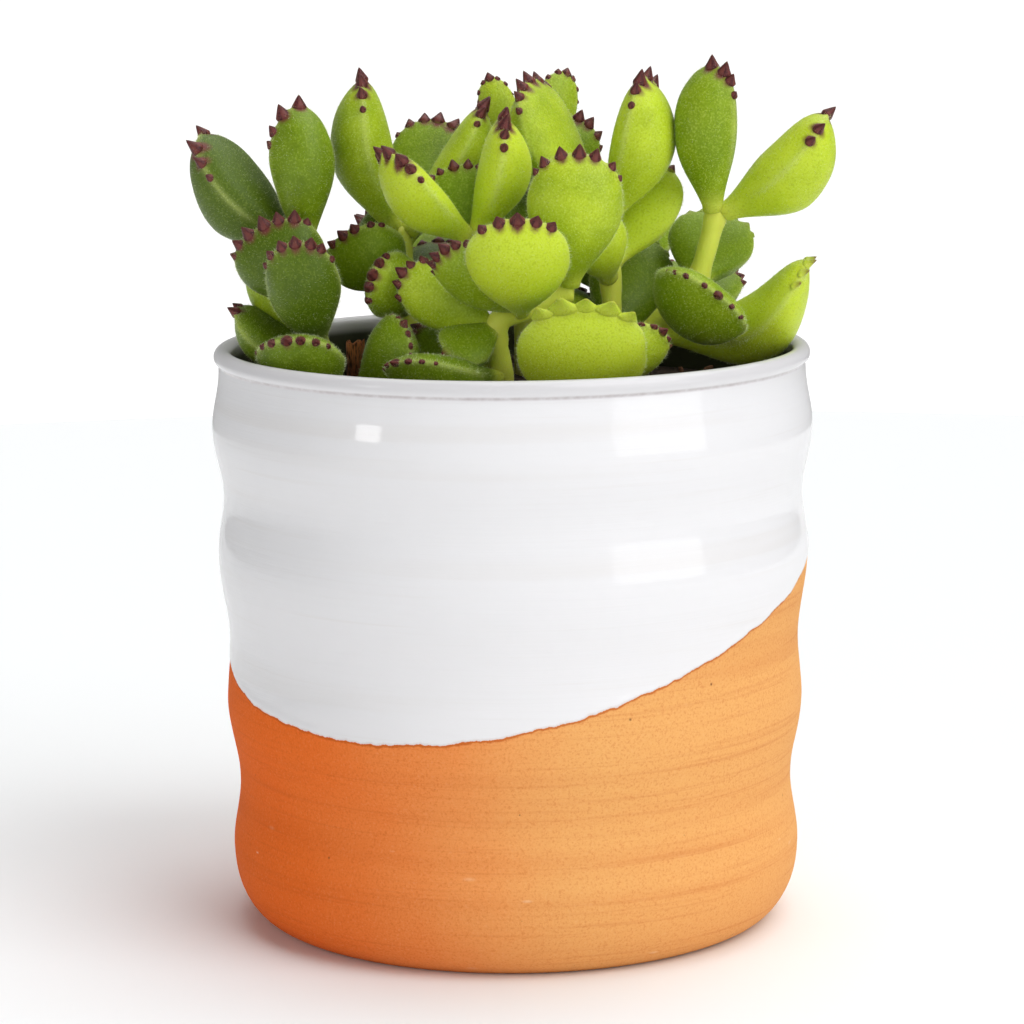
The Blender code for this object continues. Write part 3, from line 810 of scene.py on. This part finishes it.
class Blade:
    """A leaf in its place, with its three directions and the teeth of its end."""

    def __init__(self, path, plan, draw):
        self.plan = plan
        self.root = point_at_height(path, plan.height)
        line = Vector(plan.tip) - self.root
        self.length = line.length - TIP_TOOTH
        self.along = line.normalized()
        across, tilt = math.radians(plan.across), math.radians(plan.tilt)
        level = math.cos(tilt)
        side = Vector((math.cos(across) * level, math.sin(across) * level, math.sin(tilt)))
        self.side = (side - self.along * side.dot(self.along)).normalized()
        self.face = self.side.cross(self.along)
        drawn_tone = draw.uniform(-0.8, 0.4)
        self.tone = drawn_tone if plan.tone is None else plan.tone
        self.seed = Vector((draw.uniform(0, 90), draw.uniform(0, 90), draw.uniform(0, 90)))
        small = min(1.0, plan.width / FULL_TOOTHED_WIDTH) * plan.fang
        self.teeth = [(0.0, 1.0, TEETH[0][1] * (0.35 + 0.65 * small))]
        for sign in (1.0, -1.0):
            if sign == plan.bare:
                continue
            for angle, height in TEETH[1 : plan.teeth + 1]:
                turn = math.radians(min(angle + plan.start, LAST_TOOTH) + draw.uniform(-2.5, 2.5))
                self.teeth.append((turn, sign, height * small * draw.uniform(0.82, 1.12)))
        self.feet = [self.margin(turn, sign) for turn, sign, size in self.teeth]

    def share_at(self, turn):
        """The share of the leaf's length where its end has turned by this angle from the tip."""
        return WIDEST + (1.0 - WIDEST) * max(math.cos(turn), 0.0) ** (2.0 / self.plan.shoulder)

    def middle(self, t):
        """The point of the leaf's middle line at this share of its length."""
        sag = self.plan.bend * self.length * math.sin(math.pi * t)
        return self.root + self.along * (self.length * t) - self.face * sag

    def outward(self, turn, sign):
        """The direction in which the margin, and a tooth on it, stands out."""
        aim = TOOTH_LEAN * turn
        return self.along * math.cos(aim) + self.side * (sign * math.sin(aim))

    def margin(self, turn, sign):
        """The point of the margin where the leaf's end has turned by this angle, on the side sign."""
        t = self.share_at(turn)
        return self.middle(t) + self.side * (sign * half_width(t, self.plan.width, self.plan.shoulder))

    def raised(self, t, turn, sign):
        """How high the margin's ridge stands here, and how far it swells under its teeth."""
        height = MARGIN_RIDGE * eased((t - 0.35) / 0.3)
        here = self.margin(turn, sign) if t >= WIDEST else None
        under = 0.0
        if here:
            for (tooth_turn, tooth_sign, size), foot in zip(self.teeth, self.feet):
                gap = (foot - here).length / (0.9 + 0.65 * size)
                under = max(under, size / TEETH[0][1] * max(1.0 - gap, 0.0) ** 1.5)
        return height, under

    def stain(self, spot):
        """How far the maroon of the nearest tooth has run into the leaf here."""
        most = 0.0
        for (turn, sign, size), foot in zip(self.teeth, self.feet):
            away = spot - foot
            if away.length_squared < STAIN_REACH**2:
                inward = -self.outward(turn, sign).dot(away)
                lift = self.face.dot(away)
                run = math.hypot(inward, lift)
                across = math.sqrt(max(away.length_squared - run * run, 0.0))
                scale = size / TEETH[0][1]
                gap = math.hypot(across / (STAIN_WIDTH * scale), run / (STAIN_LENGTH * scale))
                most = max(most, max(1.0 - gap, 0.0) * min(scale, 1.0))
        return most

    def body(self, shape):
        """The paddle itself, with its margin raised."""
        rings = BLADE_RINGS + END_RINGS
        rows = {}
        for ring in range(rings + 1):
            if ring <= BLADE_RINGS:
                t, turn = WIDEST * ring / BLADE_RINGS, math.pi / 2.0
            else:
                turn = math.pi / 2.0 * (1.0 - (ring - BLADE_RINGS) / END_RINGS)
                t = self.share_at(turn)
            raised = {sign: self.raised(t, turn, sign) for sign in (1.0, -1.0)}
            wide = half_width(t, self.plan.width, self.plan.shoulder)
            rows[ring] = (t, turn, wide, half_thickness(t, self.plan.thick), raised)

        def place_of(ring, angle):
            t, turn, wide, thick, raised = rows[ring]
            angle -= 0.22 * math.sin(2.0 * angle)
            up = math.sin(angle)
            sign = 1.0 if math.cos(angle) >= 0.0 else -1.0
            if ring in (0, rings):
                wide = thick = 0.0
            lift = thick * up * (UPPER_SHARE if up > 0.0 else LOWER_SHARE)
            spot = self.middle(t)
            uneven = 1.0 + 0.05 * noise.noise(spot * 0.09 + self.seed + Vector((math.cos(angle), up, 0.0)))
            spot = spot + (self.side * (wide * math.cos(angle)) + self.face * lift) * uneven
            ridge, under = raised[sign]
            near = math.exp(-((lift / 0.95) ** 2))
            knob = math.exp(-((lift / 1.2) ** 2))
            spot += self.outward(turn, sign) * (near * ridge + knob * SWELLING * under)
            flare = NECK_FLARE * math.exp(-((t / 0.05) ** 2)) if ring else 0.0
            spot += self.side * (flare * math.cos(angle)) + self.face * (flare * up)
            rim = math.exp(-((lift / 0.8) ** 2)) * eased((t - 0.2) / 0.3)
            blush = self.plan.red * self.stain(spot) if ring > BLADE_RINGS else 0.0
            return spot, {"tone": self.tone, "reach": t, "rim": rim, "blush": blush}

        budded(shape, LEAF_SIDES, rings, place_of)

    def tooth(self, shape, turn, sign, size):
        """A ribbed spine that starts inside the margin and bends toward the leaf's tip."""
        along = self.outward(turn, sign)
        foot = self.margin(turn, sign) + along * MARGIN_RIDGE
        side = (self.face.cross(along)).normalized()
        high = size - MARGIN_RIDGE
        red = self.plan.red
        broad = 1.0 + 0.45 * (1.0 - min(red, 1.0))
        wide = (0.50 + 0.44 * size) * broad
        thick = (0.42 + 0.36 * size) / broad

        def place_of(ring, angle):
            share = ring / TOOTH_RINGS
            height = -TOOTH_ROOT + (high + TOOTH_ROOT) * share
            up = max(height, 0.0) / high
            down = max(-height, 0.0) / TOOTH_ROOT
            taper = (1.0 - up) ** 0.78 * (0.86 + 0.14 * (1.0 - up) ** 3) * (1.0 - down**2)
            if ring in (0, TOOTH_RINGS):
                taper = 0.0
            ridge = math.cos(TOOTH_RIBS * angle)
            rib = 1.0 + 0.05 * ridge * min(3.0 * up, 1.0)
            spot = foot + along * height
            spot += side * (wide * taper * rib * math.cos(angle))
            spot += self.face * (thick * taper * rib * math.sin(angle))
            spot += self.along * (0.10 * size * up * up * (1.0 - math.cos(turn)))
            blush = red * (0.72 - 0.45 * down + 1.2 * up) + 0.15 * up
            values = {"tone": self.tone, "reach": 1.0, "rim": 0.4, "blush": blush, "rib": 0.5 - 0.5 * ridge}
            return spot, values

        budded(shape, TOOTH_SIDES, TOOTH_RINGS, place_of)


def curve_through(path, steps):
    """Points along a smooth line through the stem's points, with this many steps between each two."""
    points = [Vector(p) for p in path]
    line = []
    for k in range(len(points) - 1):
        before = points[max(k - 1, 0)]
        after = points[min(k + 2, len(points) - 1)]
        start, end = points[k], points[k + 1]
        for s in range(steps):
            u = s / steps
            line.append(
                0.5
                * (
                    2.0 * start
                    + (end - before) * u
                    + (2.0 * before - 5.0 * start + 4.0 * end - after) * u**2
                    + (3.0 * start - before - 3.0 * end + after) * u**3
                )
            )
    return line + [points[-1]]


def add_stem(shape, path, leaves, tone):
    """The stem as a tube along its middle line, swollen where its leaves leave it, with a round top."""
    line = curve_through(path, 8)
    rings = len(line) + 1
    nodes = [point_at_height(path, leaf.height).z for leaf in leaves]

    def place_of(ring, angle):
        index = min(max(ring - 1, 0), len(line) - 1)
        spot = line[index]
        ahead = line[min(index + 1, len(line) - 1)] - line[max(index - 1, 0)]
        along = ahead.normalized()
        side = (Vector((1.0, 0.0, 0.0)) - along * along.x).normalized()
        face = side.cross(along)
        swollen = max(math.exp(-(((spot.z - height) / 2.6) ** 2)) for height in nodes)
        radius = STEM_RADIUS * (0.94 + 0.2 * swollen + 0.05 * noise.noise(spot * 0.3))
        if ring in (0, rings):
            radius = 0.0
            spot = spot + along * (1.5 if ring else -0.5)
        values = {"tone": tone, "stalk": 1.0, "olive": eased((146.0 - spot.z) / 14.0)}
        return spot + side * (radius * math.cos(angle)) + face * (radius * math.sin(angle)), values

    budded(shape, STEM_SIDES, rings, place_of)


# The leaves' skin. It is a velvety green, paler at the neck and the margin and freckled by its cells, and it
# turns maroon in the teeth and where their colour runs into the leaf. Part of it is painted light and shade:
# the leaves' tones follow the light they stand in, the margin's pale line is partly a painted highlight, and
# the pale freckles are partly painted glints on the hair tips.
LEAF_GREEN = (0.20, 0.31, 0.004)
LEAF_DEEP = (0.070, 0.120, 0.003)
LEAF_LIME = (0.56, 0.70, 0.030)
LEAF_PALE_AND_HIGHLIGHT = (0.60, 0.68, 0.20)
LEAF_FRECKLE_AND_GLINT = (0.58, 0.70, 0.13)
STALK_GREEN = (0.70, 0.76, 0.10)
STALK_OLIVE = (0.20, 0.16, 0.045)
TOOTH_MAROON = (0.155, 0.040, 0.034)
TOOTH_DARK = (0.045, 0.008, 0.012)

leaf_finish, tree, shader, place = new_material(
    "velvet leaf",
    Subsurface_Weight=0.22,
    Subsurface_Scale=0.0035,
    Subsurface_Radius=(0.6, 1.0, 0.15),
    Sheen_Weight=0.07,
    Sheen_Roughness=0.30,
    Sheen_Tint=(0.86, 1.0, 0.50, 1.0),
    Specular_IOR_Level=0.22,
)
tone = layer(tree, "tone")
reach = layer(tree, "reach")
rim = layer(tree, "rim")
blush = layer(tree, "blush")
stalk = layer(tree, "stalk")
olive = layer(tree, "olive")
mottle = cloud(tree, place, 95.0, 3.0, 0.55)
cells = cloud(tree, place, 1900.0, 2.0, 0.6)
# Painted light and shade: a leaf's tone, darker for a leaf in shade and brighter for a lit one, sets its
# green from deep to lime.
own = maths(tree, "ADD", tone, maths(tree, "MULTIPLY_ADD", mottle, 0.9, -0.45))
skin = tinted(tree, rise(tree, own, -1.0, 0.0), LEAF_DEEP, LEAF_GREEN)
skin = tinted(tree, rise(tree, own, 0.0, 1.0), skin, LEAF_LIME)
# Partly painted highlight: the margin is paler, for its own pale green and for the light caught along its
# ridge.
skin = tinted(tree, times(tree, rim, 0.38), skin, LEAF_PALE_AND_HIGHLIGHT)
neck = rest(tree, rise(tree, reach, 0.05, 0.26))
skin = tinted(tree, times(tree, neck, 0.7), skin, STALK_GREEN)
# Partly painted highlight: pale freckles, stronger on brighter leaves, for the pale hair bases and for glints
# on the hair tips.
freckled = maths(tree, "MULTIPLY_ADD", rise(tree, own, -1.0, 0.6), 0.26, 0.12)
skin = tinted(tree, times(tree, rise(tree, cells, 0.50, 0.68), freckled), skin, LEAF_FRECKLE_AND_GLINT)
skin = tinted(tree, times(tree, rise(tree, cells, 0.48, 0.32), 0.22), skin, LEAF_DEEP)
stem_skin = tinted(tree, times(tree, olive, 0.75), STALK_GREEN, STALK_OLIVE)
skin = tinted(tree, stalk, skin, stem_skin)
flush = maths(tree, "MULTIPLY_ADD", maths(tree, "SUBTRACT", cells, 0.5), 0.30, blush)
rib = layer(tree, "rib")
ribbed = maths(tree, "ADD", rib, maths(tree, "MULTIPLY_ADD", cells, 0.8, -0.4))
tipped = times(tree, rise(tree, blush, 1.0, 1.8), 0.6)
dark = maths(tree, "MAXIMUM", rise(tree, ribbed, 0.45, 0.95), tipped)
maroon = tinted(tree, dark, TOOTH_MAROON, TOOTH_DARK)
skin = tinted(tree, rise(tree, flush, 0.12, 0.62), skin, maroon)
soft = maths(tree, "MULTIPLY_ADD", mottle, 0.12, 0.36)
fine = relief(tree, cells, 0.00018, 0.7)
feed(tree, shader, Base_Color=skin, Roughness=soft, Normal=relief(tree, mottle, 0.0009, 0.25, fine))


# The hairs. Short soft hairs cover each leaf and stem, thinner on the teeth, and show as a pale fringe at its
# edge. They are needles of three sides, copied all over the finished leaf, where no operator places them.
HAIRS_PER_MM2 = 2.1
HAIRS_FROM = 133.0
HAIR_LENGTHS = (0.5, 1.15)
HAIR_WIDTH = 0.023
HAIR_PALE = (0.84, 0.89, 0.62)
HAIR_GREEN = (0.72, 0.83, 0.36)

hair_finish, tree, shader, place = new_material("soft hair", Specular_IOR_Level=0.4)
tufts = cloud(tree, place, 520.0, 3.0, 0.6)
hair_colour = tinted(tree, rise(tree, tufts, 0.38, 0.62), HAIR_GREEN, HAIR_PALE)
feed(tree, shader, Base_Color=hair_colour, Roughness=maths(tree, "MULTIPLY_ADD", tufts, 0.2, 0.45))

needle_shape = bmesh.new()
bmesh.ops.create_cone(needle_shape, cap_ends=True, segments=3, radius1=1.0, radius2=0.0, depth=1.0)
bmesh.ops.remove_doubles(needle_shape, verts=needle_shape.verts[:], dist=0.001)
bmesh.ops.translate(needle_shape, verts=needle_shape.verts[:], vec=(0.0, 0.0, 0.5))
bmesh.ops.recalc_face_normals(needle_shape, faces=needle_shape.faces[:])
needle_shape.verts.ensure_lookup_table()
needle_points = np.array([vert.co for vert in needle_shape.verts])
needle_faces = np.array([[vert.index for vert in face.verts] for face in needle_shape.faces])
needle_shape.free()


def read_out(items, field, width, kind=np.float32):
    """What the items of a mesh hold in this field, as an array with this many values a row."""
    values = np.zeros(len(items) * width, dtype=kind)
    items.foreach_get(field, values)
    return values.reshape(-1, width)


def hairs(name, grown_on, seed):
    """A piece with hairs all over the faces of grown_on that stand clear of the soil."""
    mesh = grown_on.data
    mesh.calc_loop_triangles()
    corners = read_out(mesh.loop_triangles, "vertices", 3, np.int32)
    points = read_out(mesh.vertices, "co", 3, np.float64)
    blushes = read_out(mesh.attributes["blush"].data, "value", 1)[:, 0]
    rims = read_out(mesh.attributes["rim"].data, "value", 1)[:, 0]
    a, b, c = (points[corners[:, k]] for k in range(3))
    normals = np.cross(b - a, c - a)
    areas = np.linalg.norm(normals, axis=1) / 2.0
    normals /= np.maximum(areas[:, None] * 2.0, 1e-12)
    weights = areas * np.where(a[:, 2] > HAIRS_FROM * MM, 1.0, 0.0)
    weights *= np.where(blushes[corners[:, 0]] > 0.5, 0.25, 0.75 + 2.2 * rims[corners[:, 0]])
    count = int(weights.sum() / MM**2 * HAIRS_PER_MM2)
    rng = np.random.default_rng(seed)
    chosen = rng.choice(len(weights), size=count, p=weights / weights.sum())
    u, v = rng.random(count), rng.random(count)
    over = u + v > 1.0
    u[over], v[over] = 1.0 - u[over], 1.0 - v[over]
    feet = a[chosen] + (b - a)[chosen] * u[:, None] + (c - a)[chosen] * v[:, None]
    aims = normals[chosen] + rng.normal(0.0, 0.16, (count, 3)) + np.array((0.0, 0.0, 0.08))
    aims /= np.linalg.norm(aims, axis=1)[:, None]
    across = np.cross(aims, np.array((0.31, 0.52, 0.79)))
    across /= np.linalg.norm(across, axis=1)[:, None]
    third = np.cross(aims, across)
    lengths = rng.uniform(*HAIR_LENGTHS, count) * (0.62 + 0.38 * rims[corners[chosen, 0]])
    lengths = lengths[:, None] * MM
    feet -= aims * 0.05 * MM
    placed = (
        feet[:, None, :]
        + across[:, None, :] * (needle_points[None, :, :1] * HAIR_WIDTH * MM)
        + third[:, None, :] * (needle_points[None, :, 1:2] * HAIR_WIDTH * MM)
        + aims[:, None, :] * (needle_points[None, :, 2:] * lengths[:, None, :])
    ).reshape(-1, 3)
    placed = np.clip(placed, np.array(cad_box[0]) + 1e-6, np.array(cad_box[1]) - 1e-6)
    faces = (needle_faces[None, :, :] + (np.arange(count) * len(needle_points))[:, None, None]).reshape(-1, 3)
    made_mesh = bpy.data.meshes.new(name)
    made_mesh.from_pydata(placed.tolist(), [], faces.tolist())
    made_mesh.materials.append(hair_finish)
    made = in_scene(name, made_mesh)
    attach(made, "root")


for number, (name, (path, leaves)) in enumerate(STEMS.items()):
    draw = random.Random(LEAF_SEED + number)
    stem_shape = bmesh.new()
    for key in ("tone", "reach", "rim", "blush", "rib", "stalk", "olive"):
        stem_shape.verts.layers.float.new(key)
    add_stem(stem_shape, path, leaves, draw.uniform(-1.0, 1.0))
    for plan in leaves:
        blade = Blade(path, plan, draw)
        blade.body(stem_shape)
        for turn, sign, size in blade.teeth:
            blade.tooth(stem_shape, turn, sign, size)
    stem = finished("leaves_" + name, stem_shape, "leafy_stem_" + name)
    stem.data.materials.append(leaf_finish)
    hairs("hairs_" + name, stem, 100 + number)


# The floor and the light. The pot stands on a plain white floor in a room that is brightest behind the viewer
# and dim on the right. Three broad soft lamps stand in front on the right, high on the right, and behind. A
# wide window on the right and a small one on the left are there for the glaze to mirror.
FLOOR_RADIUS = 0.9
FLOOR_WHITE = (0.92, 0.935, 0.94, 1.0)
ROOM_FRONT = 1.14
ROOM_BACK = 0.37
ROOM_LEFT = 0.37
ROOM_SEEN = 1.1
WINDOW_DISTANCE = 1.1
KEY_WINDOW = (56.3, 6.2, (0.76, 0.31), 1.72)
SIDE_WINDOW = (-54.5, 14.3, (0.19, 0.16), 0.80)
FRONT_LAMP = (50.0, 43.0, 45.0, 1.17)
HIGH_LAMP = (80.0, 69.0, 60.0, 1.19)
BACK_LAMP = (168.0, 60.0, 60.0, 1.08)
POT_MIDDLE = Vector((0.0, 0.0, 0.10))

floor_shape = bmesh.new()
bmesh.ops.create_circle(floor_shape, cap_ends=True, segments=96, radius=FLOOR_RADIUS)
floor_mesh = bpy.data.meshes.new("floor")
floor_shape.to_mesh(floor_mesh)
floor_shape.free()
floor = in_scene("floor", floor_mesh)
floor_finish = new_material("white floor", Base_Color=FLOOR_WHITE, Roughness=0.9, Specular_IOR_Level=0.1)[0]
floor.data.materials.append(floor_finish)

world = bpy.data.worlds.new("white room")
world.use_nodes = True
tree = world.node_tree
background = tree.nodes["Background"]
seen = node(tree, "LightPath", {}).outputs["Is Camera Ray"]
aim = node(tree, "SeparateXYZ", {0: node(tree, "TexCoord", {}).outputs["Generated"]})
room = 0.0
for axis, strength in ((1, -ROOM_FRONT), (1, ROOM_BACK), (0, -ROOM_LEFT)):
    room = maths(tree, "ADD", room, maths(tree, "MAXIMUM", times(tree, aim.outputs[axis], strength), 0.0))
room = times(tree, room, rest(tree, maths(tree, "MAXIMUM", aim.outputs[2], 0.0)))
strength = node(tree, "Mix", {0: seen, 2: room, 3: ROOM_SEEN})
tree.links.new(strength.outputs[0], background.inputs["Strength"])
background.inputs["Color"].default_value = (1.0, 1.0, 1.0, 1.0)
bpy.context.scene.world = world
bpy.context.scene.view_settings.view_transform = "Standard"


def light_aim(azimuth, elevation):
    """The direction from the pot to a lamp at this azimuth to the right of the view and this elevation."""
    turn, lift = math.radians(azimuth), math.radians(elevation)
    return Vector((math.sin(turn) * math.cos(lift), -math.cos(turn) * math.cos(lift), math.sin(lift)))


def window_of_light(name, azimuth, elevation, size, power):
    """A rectangular lamp in this direction, aimed at the pot."""
    aim = light_aim(azimuth, elevation)
    lamp = bpy.data.lights.new(name, "AREA")
    lamp.shape = "RECTANGLE"
    lamp.size, lamp.size_y = size
    lamp.energy = power
    made = in_scene(name, lamp)
    made.location = POT_MIDDLE + aim * WINDOW_DISTANCE
    made.rotation_euler = aim.to_track_quat("Z", "Y").to_euler()


def far_lamp(name, azimuth, elevation, spread, power):
    """A lamp so far off that it lights everything alike, softened by its spread in degrees."""
    lamp = bpy.data.lights.new(name, "SUN")
    lamp.energy = power
    lamp.angle = math.radians(spread)
    made = in_scene(name, lamp)
    made.rotation_euler = light_aim(azimuth, elevation).to_track_quat("Z", "Y").to_euler()


window_of_light("key", *KEY_WINDOW)
window_of_light("side", *SIDE_WINDOW)
far_lamp("front", *FRONT_LAMP)
far_lamp("high", *HIGH_LAMP)
far_lamp("back", *BACK_LAMP)
